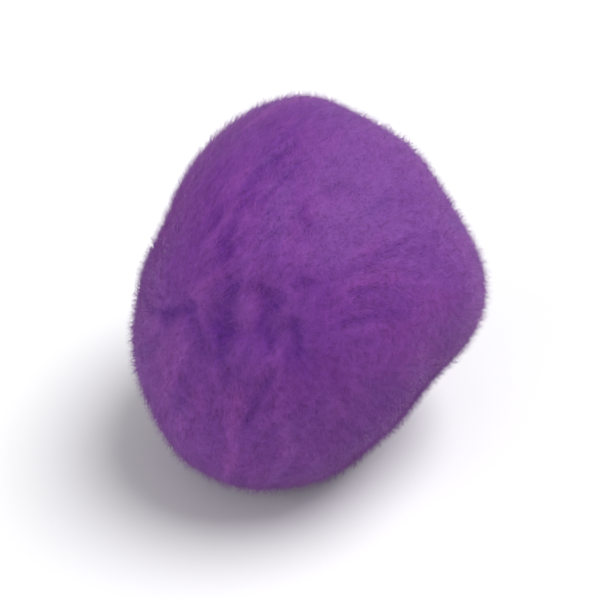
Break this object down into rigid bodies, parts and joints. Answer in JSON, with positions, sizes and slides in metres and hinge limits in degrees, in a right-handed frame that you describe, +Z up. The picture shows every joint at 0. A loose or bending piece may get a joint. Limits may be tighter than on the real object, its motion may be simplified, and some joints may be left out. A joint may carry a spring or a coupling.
{
  "type": "pom pom",
  "caption": "Craft pom pom: a dense, soft, slightly egg-shaped ball of fluffed purple fibre that spreads from a tied heart, with a small flat spot under it to rest on",
  "frame": {"origin": "The middle of the flat spot that the ball rests on, straight under the heart where its fibre is tied", "axes": "+Z up from the surface that it rests on; -Y towards the eye of the picture, which looks down at it; +X to the right as that eye sees it, where the ball bulges"},
  "size_m": [0.0449, 0.0459, 0.0455],
  "materials": {
    "fibre": "matt fluffed fibre, mid purple, dense, with a fine soft fuzz"
  },
  "bodies": {
    "root": {"pom_pom": "fibre"}
  },
  "joints": []
}
